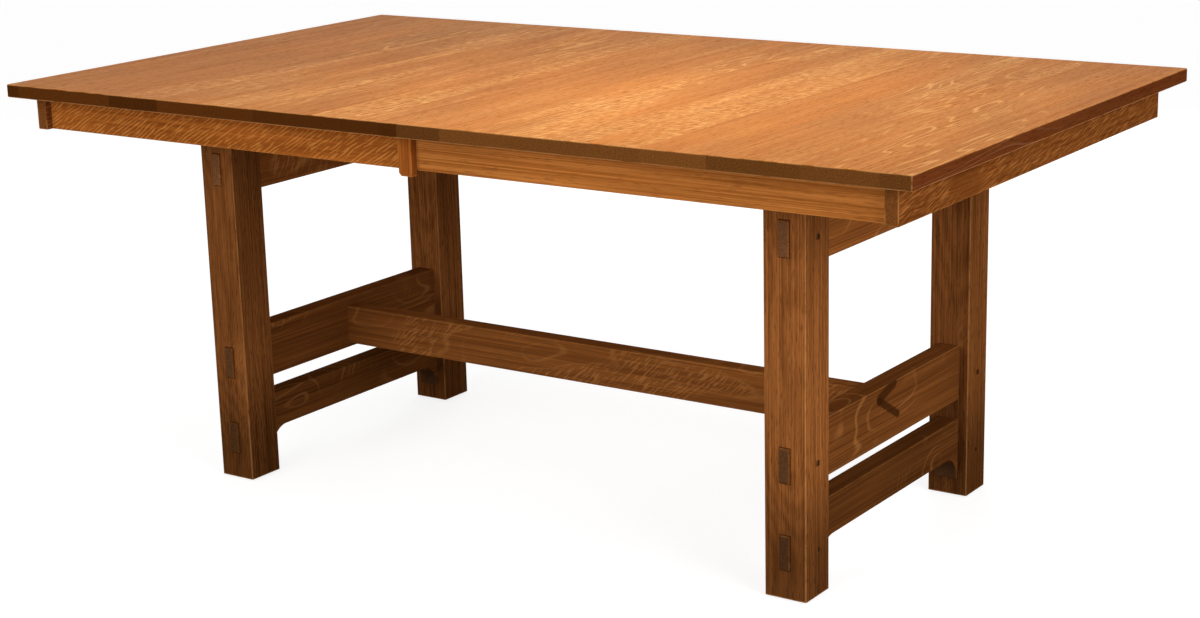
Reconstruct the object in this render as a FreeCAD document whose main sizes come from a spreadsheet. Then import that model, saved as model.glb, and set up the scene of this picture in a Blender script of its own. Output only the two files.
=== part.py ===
"""Butterfly extension table: a trestle base, two top halves on geared slides and a stored folding leaf.

Frame: origin on the floor under the middle of the table, +X along the table, +Y to the back, +Z up.
All sizes are in millimetres.
"""
import FreeCAD, Part
import math
import os
import re

SIZES = {
    # Top, in two halves that meet at the middle of the table
    "table_height": 762, "top_length": 1829, "top_width": 1067, "top_thick": 24,
    "seam_gap": 0.4, "top_arris": 2.5,
    # Aprons under the top, and the blocks that cover their seam
    "apron_height": 61, "apron_thick": 22, "apron_end_inset": 38, "apron_side_inset": 35,
    "side_apron_setback": 13, "apron_arris": 1.5,
    "seam_block_width": 27, "seam_block_drop": 9, "seam_block_chamfer": 5,
    "corner_block": 60, "corner_block_tip": 8, "corner_block_height": 45,
    "glue_block": 20, "glue_block_length": 70, "glue_block_spacing": 380,
    # Trestle legs and rails
    "leg_size": 76, "leg_spread_x": 1194, "leg_spread_y": 590, "leg_arris": 2.5,
    "glide_thick": 3, "glide_diameter": 50,
    "rail_thick": 40, "rail_arris": 2,
    "top_rail_height": 100, "middle_rail_height": 100, "lower_rail_height": 112,
    "middle_rail_base": 184, "lower_rail_base": 35,
    "arch_rise": 45, "arch_radius": 39, "arch_foot": 6,
    "tenon_width": 18, "tenon_height": 58, "tenon_proud": 3.5, "tenon_chamfer": 1.5,
    "top_tenon_drop": 51, "middle_tenon_rise": 44, "lower_tenon_rise": 46,
    "peg_size": 9.5, "peg_depth": 50, "peg_proud": 1.5, "peg_chamfer": 1,
    # Stretcher between the middle rails, drawn up with a bolt at each end
    "stretcher_height": 75, "stretcher_thick": 36, "stretcher_rise": 9,
    "stretcher_tenon_length": 24, "stretcher_tenon_thick": 18, "stretcher_tenon_height": 50,
    "bolt_diameter": 8, "bolt_clearance": 0.5, "bolt_reach": 70,
    "bolt_head": 16, "bolt_head_thick": 5, "plug_thick": 5,
    "barrel_nut": 14, "barrel_nut_length": 26,
    # Cleats on the trestles, and the slides that carry the top
    "cleat_height": 38, "cleat_width": 76, "cleat_overhang": 8, "cleat_screw_offset": 22,
    "runner_height": 46, "runner_thick": 30, "runner_overhang": 12, "slide_clearance": 6,
    "bar_thick": 25, "bar_gap": 0.5, "bar_clearance": 4, "bar_relief": 1.5,
    "bar_end_room": 54, "bar_overlap": 60,
    "groove_rise": 6, "groove_height": 10, "groove_depth": 8, "groove_clearance": 0.3,
    # Equalizer gears
    "gear_teeth": 12, "gear_module": 3.2, "gear_addendum": 2.2, "gear_dedendum": 2.9, "gear_backlash": 0.4,
    "gear_rise": 19, "gear_thick": 11, "gear_side_room": 0.5, "gear_pin": 8, "gear_pin_clearance": 0.05,
    "gear_pin_inset": 4, "gear_window_room": 2,
    "rack_back": 6, "rack_margin": 24,
    # Folding leaf, stored on two carriers between the slides
    "leaf_width": 457, "drop_in_room": 12, "leaf_room": 13,
    "carrier_width": 40, "carrier_thick": 22, "carrier_spacing": 300,
    "stop_thick": 8, "stop_height": 16, "stop_clearance": 0.5,
    "hinge_width": 50, "hinge_depth": 30, "hinge_plate": 2.5, "hinge_barrel": 5, "hinge_pin": 2.6,
    "hinge_spacing": 180, "hinge_room": 0.3,
    # Alignment dowels in the seam and the leaf
    "dowel_diameter": 10, "dowel_length": 40, "dowel_clearance": 0.3,
    "dowel_inner": 133, "dowel_outer": 400,
    # Latches under the seam
    "latch_plate": 2, "latch_plate_length": 28, "latch_plate_width": 26, "latch_edge": 2,
    "latch_pivot": 6, "latch_pivot_clearance": 0.05, "latch_setback": 16, "latch_radius": 26,
    "latch_bar_clearance": 3, "lever_thick": 3, "lever_width": 16, "lever_tip": 33, "lever_tail": 22,
    "lever_tab": 7, "lever_gap": 0.3,
    "rivet_head": 11, "rivet_head_thick": 1.5, "keeper_stud": 5, "keeper_slot": 6.6, "keeper_length": 5,
    # Wood screws
    "screw_diameter": 5, "screw_head": 10, "screw_head_thick": 3, "screw_bite": 14, "leg_screw_bite": 35,
    "screw_spacing": 220,
}

doc = FreeCAD.newDocument("butterfly_table")
sheet = doc.addObject("Spreadsheet::Sheet", "sizes")
for row, (alias, number) in enumerate(SIZES.items(), 1):
    sheet.set(f"A{row}", alias)
    sheet.set(f"B{row}", str(number))
    sheet.setAlias(f"B{row}", alias)
doc.recompute()

LEFT, RIGHT = -1, 1
FRONT, BACK = -1, 1
SIDE_NAMES = {LEFT: "left", RIGHT: "right"}
FACE_NAMES = {FRONT: "front", BACK: "back"}

# Heights
UNDERSIDE = "(table_height - top_thick)"
LEG_TOP = f"({UNDERSIDE} - slide_clearance - runner_height - cleat_height)"
CLEAT_TOP = f"({LEG_TOP} + cleat_height)"
RUNNER_TOP = f"({CLEAT_TOP} + runner_height)"
BAR_BASE = f"({CLEAT_TOP} + bar_clearance)"
APRON_BASE = f"({UNDERSIDE} - apron_height)"
GEAR_BASE = f"({CLEAT_TOP} + gear_rise)"
GROOVE_BASE = f"({CLEAT_TOP} + groove_rise)"
STRETCHER_BASE = "(middle_rail_base + stretcher_rise)"
STRETCHER_MIDDLE = f"({STRETCHER_BASE} + stretcher_height / 2)"
LEAF_BASE = CLEAT_TOP

# Distances from the middle of the table
LEG_X = "(leg_spread_x / 2)"
LEG_Y = "(leg_spread_y / 2)"
LEG_INSIDE_Y = "(leg_spread_y / 2 - leg_size / 2)"
LEG_OUTSIDE_Y = "(leg_spread_y / 2 + leg_size / 2)"
SEAM = "(seam_gap / 2)"
TRAVEL = "(leaf_width / 2 + drop_in_room)"
PITCH_RADIUS = "(gear_teeth * gear_module / 2)"
RUNNER_Y = "(top_width / 4 + leaf_room + bar_thick + bar_gap + runner_thick / 2)"
RUNNER_END = f"({LEG_X} + cleat_width / 2 + runner_overhang)"
INNER_BAR_FACE = f"({RUNNER_Y} - runner_thick / 2 - bar_gap)"
OUTER_BAR_FACE = f"({RUNNER_Y} + runner_thick / 2 + bar_gap)"
APRON_END_OUT = "(top_length / 2 - apron_end_inset)"
APRON_END_IN = f"({APRON_END_OUT} - apron_thick)"
APRON_END_Y = "(top_width / 2 - apron_side_inset)"
APRON_SIDE_OUT = f"({APRON_END_Y} - side_apron_setback)"
APRON_SIDE_IN = f"({APRON_SIDE_OUT} - apron_thick)"
BAR_END = f"({APRON_END_IN} - bar_end_room)"
BAR_TIP = f"({TRAVEL} + rack_margin + bar_overlap)"
LATCH_Y = f"({OUTER_BAR_FACE} + bar_thick + latch_bar_clearance + lever_tip)"
FOLD_Y = "(top_width / 4)"

ALONG_X = FreeCAD.Vector(1, 0, 0)
ALONG_Y = FreeCAD.Vector(0, 1, 0)
ALONG_Z = FreeCAD.Vector(0, 0, 1)

nodes = []


def formula(text):
    """Spell out the spreadsheet behind each size's name."""
    return re.sub(r"[a-z]\w*", lambda word: f"sizes.{word.group()}", str(text))


def value(text):
    """Present number of a formula of sizes."""
    return float(sheet.evalExpression(formula(text)))


def bind(item, **formulas):
    """Bind properties to formulas; an underscore stands for a dot in a placement's coordinate."""
    for name, text in formulas.items():
        item.setExpression(name.replace("Base_", "Placement.Base."), formula(text))
    return item


def node(item, label):
    """Name a finished sub-part."""
    item.Label = label
    nodes.append(item)
    return item


def span(low, high, side=1):
    """Two formulas in rising order, mirrored where side is -1."""
    return (low, high) if side > 0 else (f"-({high})", f"-({low})")


def about(middle, size):
    """Span of a size about a middle."""
    return (f"{middle} - ({size}) / 2", f"{middle} + ({size}) / 2")


def block(name, x, y, z):
    """Box between two formulas on each axis."""
    box = doc.addObject("Part::Box", name)
    bind(box, Length=f"({x[1]}) - ({x[0]})", Width=f"({y[1]}) - ({y[0]})", Height=f"({z[1]}) - ({z[0]})")
    return bind(box, Base_x=x[0], Base_y=y[0], Base_z=z[0])


def rod(name, x, y, z, diameter, length, axis="z"):
    """Cylinder that starts at a point and runs up, or along X."""
    item = doc.addObject("Part::Cylinder", name)
    if axis == "x":
        item.Placement.Rotation = FreeCAD.Rotation(ALONG_Y, 90)
    return bind(item, Radius=f"({diameter}) / 2", Height=length, Base_x=x, Base_y=y, Base_z=z)


def group(name, items):
    """Several solids as one item."""
    item = doc.addObject("Part::Compound", name)
    item.Links = items
    return item


def fused(name, items):
    """Several solids joined into one."""
    item = doc.addObject("Part::MultiFuse", name)
    item.Shapes = items
    return item


def cut(name, base, tools):
    """Base less its tools."""
    item = doc.addObject("Part::Cut", name)
    item.Base = base
    item.Tool = tools[0] if len(tools) == 1 else group(f"{name}_tools", tools)
    return item


def eased(name, base, size, pick, kind="Part::Fillet"):
    """Base with the picked edges rounded or chamfered."""
    doc.recompute()
    item = doc.addObject(kind, name)
    item.Base = base
    amount = float(sheet.get(size))
    edges = enumerate(base.Shape.Edges, 1)
    item.Edges = [(number, amount, amount) for number, edge in edges if pick(edge)]
    return item


def runs_along(axis):
    """Test for straight edges along an axis."""
    def test(edge):
        ends = [vertex.Point for vertex in edge.Vertexes]
        return abs((ends[1] - ends[0]).normalize().dot(axis)) > 0.999
    return test


def lies_at(axis, place):
    """Test for edges that lie in the plane at a place along an axis."""
    return lambda edge: all(abs(vertex.Point.dot(axis) - place) < 0.01 for vertex in edge.Vertexes)


def screw(name, x, y, head, tip):
    """Upright wood screw from its head's outer face to its tip; the head may be above or below."""
    rises = value(tip) > value(head)
    shank_base, length = (head, f"{tip} - ({head})") if rises else (tip, f"{head} - ({tip})")
    head_base = head if rises else f"{head} - screw_head_thick"
    shank = rod(f"{name}_shank", x, y, shank_base, "screw_diameter", length)
    cap = rod(f"{name}_head", x, y, head_base, "screw_head", "screw_head_thick")
    return fused(name, [shank, cap])


# Heights of the three rails of a trestle: base, height and the middle of the tenon
RAILS = {
    "top": (f"({LEG_TOP} - top_rail_height)", "top_rail_height", f"({LEG_TOP} - top_tenon_drop)"),
    "middle": ("middle_rail_base", "middle_rail_height", "(middle_rail_base + middle_tenon_rise)"),
    "lower": ("lower_rail_base", "lower_rail_height", "(lower_rail_base + lower_tenon_rise)"),
}


def leg_x(side, size):
    """Span of a size about the middle of a trestle."""
    return about(f"{side} * {LEG_X}", size)


def peg_hole(name, side, face, level):
    """Square hole from the outer side of a leg through the tenon."""
    outer = f"({LEG_X} + leg_size / 2)"
    return block(name, span(f"{outer} - peg_depth", outer, side), about(f"{face} * {LEG_Y}", "peg_size"),
                 about(level, "peg_size"))


def leg(side, face):
    """One square leg with through mortises for three rails and square peg holes."""
    label = f"leg_{FACE_NAMES[face]}_{SIDE_NAMES[side]}"
    post = block(f"{label}_post", leg_x(side, "leg_size"), about(f"{face} * {LEG_Y}", "leg_size"),
                 ("glide_thick", LEG_TOP))
    post = eased(f"{label}_eased", post, "leg_arris", runs_along(ALONG_Z))
    holes = []
    for rail, (_, _, level) in RAILS.items():
        holes.append(block(f"{label}_{rail}_mortise", leg_x(side, "tenon_width"),
                           span(LEG_INSIDE_Y, LEG_OUTSIDE_Y, face), about(level, "tenon_height")))
        holes.append(peg_hole(f"{label}_{rail}_peg_hole", side, face, level))
    joined = fused(f"{label}_holes", holes)
    screws = [rod(f"{label}_screw_hole_{way + 1}", f"{side} * {LEG_X} + {way} * cleat_screw_offset",
                  f"{face} * {LEG_Y}", f"{LEG_TOP} - leg_screw_bite", "screw_diameter", "leg_screw_bite")
              for way in (-1, 1)]
    node(cut(label, post, [joined] + screws), label)


def rail_body(label, side, base, height):
    """A trestle rail between the legs, with eased long edges."""
    board = block(f"{label}_board", leg_x(side, "rail_thick"), (f"-{LEG_INSIDE_Y}", LEG_INSIDE_Y),
                  (base, f"{base} + {height}"))
    return eased(f"{label}_eased", board, "rail_arris", runs_along(ALONG_Y))


def tenons(label, side, level):
    """Through tenons of a rail, proud of the legs and chamfered at their ends."""
    made = []
    tip = f"{LEG_OUTSIDE_Y} + tenon_proud"
    for face, name in FACE_NAMES.items():
        stick = block(f"{label}_{name}_stick", leg_x(side, "tenon_width"), span(LEG_INSIDE_Y, tip, face),
                      about(level, "tenon_height"))
        end = lies_at(ALONG_Y, face * value(tip))
        made.append(eased(f"{label}_{name}_tenon", stick, "tenon_chamfer", end, "Part::Chamfer"))
    return made


def arch(label, side):
    """Relief under a lower rail: a flat rise with round corners above two feet."""
    foot = f"({LEG_INSIDE_Y} - arch_foot)"
    corner = f"({foot} - arch_radius)"
    bottom = "lower_rail_base"
    spring = f"{bottom} + arch_rise - arch_radius"
    wide = leg_x(side, "rail_thick")
    low = block(f"{label}_low", wide, (f"-{foot}", foot), (bottom, spring))
    high = block(f"{label}_high", wide, (f"-{corner}", corner), (bottom, f"{bottom} + arch_rise"))
    rounds = [rod(f"{label}_round_{name}", wide[0], f"{face} * {corner}", spring, "arch_radius * 2",
                  "rail_thick", "x") for face, name in FACE_NAMES.items()]
    return fused(label, [low, high] + rounds)


def stretcher_end(name, side):
    """Tenon of the stretcher in the inner side of a middle rail."""
    return block(name, span(RAIL_IN, f"{RAIL_IN} + stretcher_tenon_length", side),
                 about("0", "stretcher_tenon_thick"), about(STRETCHER_MIDDLE, "stretcher_tenon_height"))


RAIL_IN = f"({LEG_X} - rail_thick / 2)"
RAIL_OUT = f"({LEG_X} + rail_thick / 2)"
BOLT_SEAT = f"({RAIL_OUT} - plug_thick - bolt_head_thick)"
BOLT_TIP = f"({RAIL_IN} - bolt_reach)"
BOLT_HOLE = "bolt_diameter + 2 * bolt_clearance"


def along_x(name, side, low, high, diameter):
    """Rod along X at the stretcher's middle height, between two distances from the table's middle."""
    start, stop = span(low, high, side)
    return rod(name, start, "0", STRETCHER_MIDDLE, diameter, f"({stop}) - ({start})", "x")


def rails(side):
    """The three rails of one trestle."""
    for rail, (base, height, level) in RAILS.items():
        label = f"{SIDE_NAMES[side]}_{rail}_rail"
        whole = fused(f"{label}_whole", [rail_body(label, side, base, height)] + tenons(label, side, level))
        holes = [peg_hole(f"{label}_{name}_peg_hole", side, face, level) for face, name in FACE_NAMES.items()]
        if rail == "lower":
            holes.append(arch(f"{label}_arch", side))
        if rail == "middle":
            holes.append(fused(f"{label}_stretcher_holes", [
                stretcher_end(f"{label}_mortise", side),
                along_x(f"{label}_bolt_hole", side, RAIL_IN, RAIL_OUT, BOLT_HOLE),
                along_x(f"{label}_counterbore", side, BOLT_SEAT, RAIL_OUT, "bolt_head")]))
        node(cut(label, whole, holes), label)


def stretcher():
    """Long stretcher with a tenon, a bolt hole and a barrel nut's hole at each end."""
    board = block("stretcher_board", (f"-{RAIL_IN}", RAIL_IN), about("0", "stretcher_thick"),
                  (STRETCHER_BASE, f"{STRETCHER_BASE} + stretcher_height"))
    board = eased("stretcher_eased", board, "rail_arris", runs_along(ALONG_X))
    ends = [stretcher_end(f"stretcher_{name}_tenon", side) for side, name in SIDE_NAMES.items()]
    whole = fused("stretcher_whole", [board] + ends)
    holes, bolts, nuts, plugs = [], [], [], []
    for side, name in SIDE_NAMES.items():
        title = f"stretcher_{name}"
        nut_x = f"{side} * ({BOLT_TIP} + barrel_nut / 2)"
        nut_base = f"{STRETCHER_MIDDLE} - barrel_nut_length / 2"
        holes.append(fused(f"{title}_holes", [
            along_x(f"{title}_bolt_hole", side, BOLT_TIP, BOLT_SEAT, BOLT_HOLE),
            rod(f"{title}_nut_hole", nut_x, "0", STRETCHER_BASE, "barrel_nut",
                "stretcher_height / 2 + barrel_nut_length / 2")]))
        bolts.append(fused(f"{title}_bolt", [
            along_x(f"{title}_bolt_shank", side, BOLT_TIP, BOLT_SEAT, "bolt_diameter"),
            along_x(f"{title}_bolt_head", side, BOLT_SEAT, f"{BOLT_SEAT} + bolt_head_thick", "bolt_head")]))
        nut = rod(f"{title}_nut_blank", nut_x, "0", nut_base, "barrel_nut", "barrel_nut_length")
        thread = along_x(f"{title}_nut_thread", side, f"{BOLT_TIP} - barrel_nut", BOLT_SEAT, "bolt_diameter")
        nuts.append(cut(f"{title}_nut", nut, [thread]))
        plugs.append(along_x(f"{title}_plug", side, f"{RAIL_OUT} - plug_thick", RAIL_OUT, "bolt_head"))
    node(cut("stretcher", whole, holes), "stretcher")
    node(group("stretcher_bolts", bolts), "stretcher_bolts")
    node(group("stretcher_barrel_nuts", nuts), "stretcher_barrel_nuts")
    node(group("stretcher_bolt_plugs", plugs), "stretcher_bolt_plugs")


def pegs_and_glides():
    """Square pegs that lock the tenons, and round glides under the legs."""
    pegs, glides = [], []
    outer = f"({LEG_X} + leg_size / 2)"
    for side, side_name in SIDE_NAMES.items():
        along = span(f"{outer} - peg_depth", f"{outer} + peg_proud", side)
        end = lies_at(ALONG_X, side * value(f"{outer} + peg_proud"))
        for face, face_name in FACE_NAMES.items():
            corner = f"{face_name}_{side_name}"
            across = about(f"{face} * {LEG_Y}", "peg_size")
            for rail, (_, _, level) in RAILS.items():
                stick = block(f"{corner}_{rail}_peg_stick", along, across, about(level, "peg_size"))
                pegs.append(eased(f"{corner}_{rail}_peg", stick, "peg_chamfer", end, "Part::Chamfer"))
            glides.append(rod(f"{corner}_glide", f"{side} * {LEG_X}", f"{face} * {LEG_Y}", "0",
                              "glide_diameter", "glide_thick"))
    node(group("tenon_pegs", pegs), "tenon_pegs")
    node(group("floor_glides", glides), "floor_glides")


def cleats():
    """Cross cleats on the two trestles, screwed down into the legs."""
    end = f"({RUNNER_Y} + runner_thick / 2 + cleat_overhang)"
    screws = []
    for side, name in SIDE_NAMES.items():
        board = block(f"{name}_cleat_board", leg_x(side, "cleat_width"), (f"-{end}", end),
                      (LEG_TOP, CLEAT_TOP))
        board = eased(f"{name}_cleat_eased", board, "rail_arris", runs_along(ALONG_Y))
        holes = []
        for face, face_name in FACE_NAMES.items():
            for way in (-1, 1):
                place = (f"{side} * {LEG_X} + {way} * cleat_screw_offset", f"{face} * {LEG_Y}")
                title = f"{name}_{face_name}_cleat_screw_{way + 1}"
                screws.append(screw(title, *place, CLEAT_TOP, f"{LEG_TOP} - leg_screw_bite"))
                holes.append(screw(f"{title}_hole", *place, CLEAT_TOP, LEG_TOP))
            place = (f"{side} * {LEG_X}", f"{face} * {RUNNER_Y}", f"{CLEAT_TOP} - screw_bite")
            holes.append(rod(f"{name}_{face_name}_runner_screw_hole", *place, "screw_diameter", "screw_bite"))
        node(cut(f"{name}_cleat", board, holes), f"{name}_cleat")
    node(group("cleat_screws", screws), "cleat_screws")


def carrier_x(side):
    """Middle of a leaf carrier."""
    return f"{side} * carrier_spacing / 2"


def gear_window(name, face):
    """Opening through a runner for the equalizer gear."""
    reach = f"({PITCH_RADIUS} + gear_addendum + gear_window_room)"
    return block(name, (f"-{reach}", reach), about(f"{face} * {RUNNER_Y}", "runner_thick"),
                 (f"{GEAR_BASE} - gear_side_room", f"{GEAR_BASE} + gear_thick + gear_side_room"))


def runners():
    """Fixed slide runners with a groove on each side, the gears' pins and the screws that hold them."""
    screws, pins = [], []
    for face, name in FACE_NAMES.items():
        middle = f"{face} * {RUNNER_Y}"
        stick = block(f"{name}_runner_stick", (f"-{RUNNER_END}", RUNNER_END), about(middle, "runner_thick"),
                      (CLEAT_TOP, RUNNER_TOP))
        holes = [gear_window(f"{name}_runner_window", face)]
        for way in (-1, 1):
            edge = f"{middle} + {way} * runner_thick / 2"
            holes.append(block(f"{name}_runner_groove_{way + 1}", (f"-{RUNNER_END}", RUNNER_END),
                               span(f"{way} * ({edge}) - groove_depth", f"{way} * ({edge})", way),
                               (GROOVE_BASE, f"{GROOVE_BASE} + groove_height")))
        pin_base = f"{CLEAT_TOP} + gear_pin_inset"
        pin_length = "runner_height - 2 * gear_pin_inset"
        pin_hole_length = "runner_height - gear_pin_inset"
        holes.append(rod(f"{name}_runner_pin_hole", "0", middle, pin_base, "gear_pin", pin_hole_length))
        pins.append(rod(f"{name}_gear_pin", "0", middle, pin_base, "gear_pin", pin_length))
        for side, side_name in SIDE_NAMES.items():
            place = (f"{side} * {LEG_X}", middle)
            title = f"{name}_{side_name}_runner_screw"
            screws.append(screw(title, *place, RUNNER_TOP, f"{CLEAT_TOP} - screw_bite"))
            holes.append(screw(f"{title}_hole", *place, RUNNER_TOP, CLEAT_TOP))
            place = (carrier_x(side), middle)
            title = f"{name}_{side_name}_carrier_screw"
            screws.append(screw(title, *place, f"{CLEAT_TOP} - carrier_thick", f"{CLEAT_TOP} + screw_bite"))
            holes.append(rod(f"{title}_hole", *place, CLEAT_TOP, "screw_diameter", "screw_bite"))
        tool = fused(f"{name}_runner_holes", holes)
        node(cut(f"{name}_slide_runner", stick, [tool]), f"{name}_slide_runner")
    node(group("slide_screws", screws), "slide_screws")
    node(group("gear_pins", pins), "gear_pins")


def gear_outline(radius, addendum, dedendum, teeth, gap):
    """Closed outline of an involute gear whose teeth are thinner than half the pitch by a gap."""
    pressure = math.radians(20)
    base = radius * math.cos(pressure)
    tip, root = radius + addendum, radius - dedendum
    half = (math.pi * radius / teeth - gap) / 2 / radius + math.tan(pressure) - pressure

    def flank(distance, way, middle):
        roll = math.acos(min(1.0, base / distance))
        angle = middle + way * (half - math.tan(roll) + roll)
        return FreeCAD.Vector(distance * math.sin(angle), distance * math.cos(angle), 0)

    def spot(distance, angle):
        return FreeCAD.Vector(distance * math.sin(angle), distance * math.cos(angle), 0)

    start = max(base, root)
    halfway = (start + tip) / 2
    edges = []
    for tooth in range(teeth):
        middle = 2 * math.pi * tooth / teeth
        following = middle + 2 * math.pi / teeth
        rising = [flank(distance, -1, middle) for distance in (start, halfway, tip)]
        falling = [flank(distance, 1, middle) for distance in (tip, halfway, start)]
        next_start = flank(start, -1, following)
        low = [spot(root, math.atan2(falling[2].x, falling[2].y)), spot(root, middle + math.pi / teeth),
               spot(root, math.atan2(next_start.x, next_start.y))]
        edges.append(Part.Arc(*rising).toShape())
        edges.append(Part.Arc(rising[2], spot(tip, middle), falling[0]).toShape())
        edges.append(Part.Arc(*falling).toShape())
        edges.append(Part.LineSegment(falling[2], low[0]).toShape())
        edges.append(Part.Arc(*low).toShape())
        edges.append(Part.LineSegment(low[2], next_start).toShape())
    return Part.Wire(Part.__sortEdges__(edges))


def gears():
    """Equalizer gear of each slide, on an upright pin, with a tooth pointing straight across the slide."""
    radius = value(PITCH_RADIUS)
    sizes = [float(sheet.get(name)) for name in ("gear_addendum", "gear_dedendum")]
    outline = gear_outline(radius, *sizes, int(sheet.get("gear_teeth")), float(sheet.get("gear_backlash")))
    bore = float(sheet.get("gear_pin")) / 2 + float(sheet.get("gear_pin_clearance"))
    thick = float(sheet.get("gear_thick"))
    for face, name in FACE_NAMES.items():
        item = doc.addObject("Part::Feature", f"{name}_equalizer_gear")
        wheel = Part.Face(outline).extrude(FreeCAD.Vector(0, 0, thick))
        item.Shape = wheel.cut(Part.makeCylinder(bore, thick))
        bind(item, Base_x="0", Base_y=f"{face} * {RUNNER_Y}", Base_z=GEAR_BASE)
        node(item, f"{name}_equalizer_gear")


def rack_outline(low, high, face_line, way):
    """Closed outline of a straight rack along X; its teeth point along way, with a space at X = 0."""
    module = float(sheet.get("gear_module"))
    pitch = math.pi * module
    addendum, dedendum = float(sheet.get("gear_addendum")), float(sheet.get("gear_dedendum"))
    slope = math.tan(math.radians(20))
    half = pitch / 4
    root = face_line - way * (addendum + dedendum)
    back = root - way * float(sheet.get("rack_back"))
    points = [(low, back), (low, root)]
    tooth = math.ceil((low + pitch / 2) / pitch - 0.5)
    middle = (tooth + 0.5) * pitch
    while middle + pitch / 2 < high:
        if middle - pitch / 2 > low:
            wide, narrow = half + dedendum * slope, half - addendum * slope
            points += [(middle - wide, root), (middle - narrow, face_line),
                       (middle + narrow, face_line), (middle + wide, root)]
        middle += pitch
    points += [(high, root), (high, back), (low, back)]
    return Part.Wire(Part.makePolygon([FreeCAD.Vector(x, y, 0) for x, y in points]))


BAR_SCREWS = 3


def bar_places(side, face):
    """Face towards the runner, and the way from that face to the runner, of a half's slide bar."""
    return (OUTER_BAR_FACE, -face) if side == LEFT else (INNER_BAR_FACE, face)


def rack(side, face):
    """Toothed strip let into a slide bar, in mesh with the gear over the whole travel."""
    item = doc.addObject("Part::Feature", f"{SIDE_NAMES[side]}_{FACE_NAMES[face]}_rack")
    reach, margin = value(TRAVEL), float(sheet.get("rack_margin"))
    low, high = (-margin, reach + margin) if side == LEFT else (-reach - margin, margin)
    way = bar_places(side, face)[1]
    tips = -way * (value(PITCH_RADIUS) - float(sheet.get("gear_addendum")))
    outline = rack_outline(low, high, tips, way)
    item.Shape = Part.Face(outline).extrude(FreeCAD.Vector(0, 0, float(sheet.get("gear_thick"))))
    return bind(item, Base_x="0", Base_y=f"{face} * {RUNNER_Y}", Base_z=GEAR_BASE)


def slide_bar(side, face):
    """Moving slide bar under one half: a tongue in the runner's groove, a rack slot and screw holes."""
    label = f"{SIDE_NAMES[side]}_{FACE_NAMES[face]}_slide_bar"
    near, way = bar_places(side, face)
    near = f"{face} * {near}"
    far = f"{near} - {way} * bar_thick"
    tongue_tip = f"{near} + {way} * (bar_gap + groove_depth - groove_clearance)"
    across = span(f"{way} * ({far})", f"{way} * ({near})", way)
    tongue_across = span(f"{way} * ({near})", f"{way} * ({tongue_tip})", way)
    along = span(f"-{BAR_TIP}", BAR_END, side)
    whole = fused(f"{label}_whole", [
        block(f"{label}_seat", span(SEAM, BAR_END, side), across, (BAR_BASE, UNDERSIDE)),
        block(f"{label}_reach", along, across, (BAR_BASE, f"{UNDERSIDE} - bar_relief")),
        block(f"{label}_tongue", along, tongue_across,
              (f"{GROOVE_BASE} + groove_clearance", f"{GROOVE_BASE} + groove_height - groove_clearance"))])
    back_line = f"{face} * {RUNNER_Y} - {way} * ({PITCH_RADIUS} + gear_dedendum + rack_back)"
    slot = block(f"{label}_rack_slot", span(f"-({TRAVEL} + rack_margin)", "rack_margin", side),
                 span(f"{way} * ({back_line})", f"{way} * ({near})", way),
                 (GEAR_BASE, f"{GEAR_BASE} + gear_thick"))
    middle = f"({near} - {way} * bar_thick / 2)"
    screws, pilots, holes = [], [], [slot]
    for number in range(BAR_SCREWS):
        place = (f"{side} * ({BAR_END} - bar_end_room - {number} * screw_spacing)", middle)
        title = f"{label}_screw_{number + 1}"
        screws.append(screw(title, *place, BAR_BASE, f"{UNDERSIDE} + screw_bite"))
        holes.append(screw(f"{title}_hole", *place, BAR_BASE, UNDERSIDE))
        pilots.append(rod(f"{title}_pilot", *place, UNDERSIDE, "screw_diameter", "screw_bite"))
    node(cut(label, whole, holes), label)
    return screws, pilots


DOWEL_OFFSETS = ("dowel_inner", "dowel_outer")


def dowel_places():
    """Distances of the alignment dowels from the middle of the seam."""
    return [f"{face} * {place}" for face in (FRONT, BACK) for place in DOWEL_OFFSETS]


DOWEL_LEVEL = "(table_height - top_thick / 2)"
SOCKET = "dowel_diameter + 2 * dowel_clearance"
SOCKET_DEPTH = "dowel_length / 2 + dowel_clearance"


def top_half(side):
    """One half of the top with its aprons, blocks, slide bars, racks and fasteners."""
    name = SIDE_NAMES[side]
    board = block(f"{name}_top_board", span(SEAM, "top_length / 2", side),
                  ("-top_width / 2", "top_width / 2"), (UNDERSIDE, "table_height"))
    at_seam = lies_at(ALONG_X, side * value(SEAM))
    panel = eased(f"{name}_top_eased", board, "top_arris", lambda edge: not at_seam(edge))
    screws, holes, racks = [], [], []
    for face in FACE_NAMES:
        made, pilots = slide_bar(side, face)
        screws += made
        holes += pilots
        racks.append(rack(side, face))
    for number, place in enumerate(dowel_places()):
        depth, width = ("dowel_length / 2", "dowel_diameter") if side == LEFT else (SOCKET_DEPTH, SOCKET)
        start = f"-{SEAM} - {depth}" if side == LEFT else SEAM
        holes.append(rod(f"{name}_dowel_hole_{number + 1}", start, place, DOWEL_LEVEL, width, depth, "x"))
    node(cut(f"{name}_top_panel", panel, holes), f"{name}_top_panel")
    node(group(f"{name}_racks", racks), f"{name}_racks")
    node(group(f"{name}_bar_screws", screws), f"{name}_bar_screws")
    aprons(side)


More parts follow.
